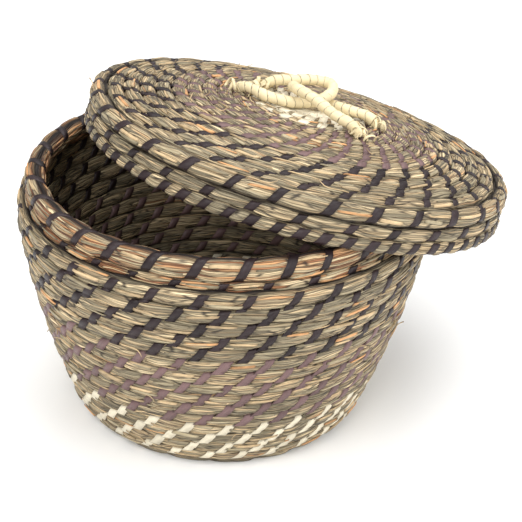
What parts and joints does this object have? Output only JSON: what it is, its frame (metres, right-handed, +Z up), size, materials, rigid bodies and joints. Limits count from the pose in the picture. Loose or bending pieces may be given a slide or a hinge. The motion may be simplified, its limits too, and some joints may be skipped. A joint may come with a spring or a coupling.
{
  "type": "seagrass storage basket",
  "caption": "Round coiled seagrass basket that tapers to a smaller rounded base, with a domed coiled lid lying ajar on the rim and a handle of interlocked wrapped rope loops.",
  "frame": {"origin": "centre of the flat face that the base rests on", "axes": "+Z up along the basket's axis, -Y to the front, +X to the right, the side that the lid slopes down to"},
  "size_m": [0.3786, 0.3624, 0.2581],
  "materials": {
    "straw": "dry grass, matte",
    "gold_straw": "dry grass, matte",
    "dark_strip": "dyed flat strip, satin",
    "mauve_strip": "dyed flat strip, satin",
    "cream_strip": "bleached flat strip, matte",
    "handle_strip": "bleached flat strip, satin"
  },
  "bodies": {
    "basket": {"base_coil": "straw", "base_stitches": "cream_strip", "wall_coil_lower": "straw", "wall_stitches_cream": "cream_strip", "wall_coil_middle": "straw", "wall_stitches_mauve": "mauve_strip", "wall_coil_upper": "straw", "wall_stitches_dark": "dark_strip", "band_coil_thin": "gold_straw", "band_stitches": "dark_strip", "rim_coil_thick": "gold_straw", "rim_stitches": "dark_strip"},
    "lid": {"lid_coil_hem": "straw", "lid_stitches_hem": "dark_strip", "lid_coil_side": "straw", "lid_stitches_side": "dark_strip", "lid_coil_shoulder": "gold_straw", "lid_stitches_shoulder": "dark_strip", "lid_coil_outer": "straw", "lid_stitches_dark": "dark_strip", "lid_coil_middle": "straw", "lid_stitches_mauve": "mauve_strip", "lid_coil_centre": "straw", "lid_stitches_cream": "cream_strip", "handle_rope_left": "handle_strip", "handle_wrap_left": "handle_strip", "handle_lashing_left": "handle_strip", "handle_rope_right": "handle_strip", "handle_wrap_right": "handle_strip", "handle_lashing_right": "handle_strip"}
  },
  "joints": [
    {"name": "lid_lift", "type": "slide", "parent": "basket", "child": "lid", "axis": [0, 0, 1], "range_m": [0, 0.15]}
  ]
}
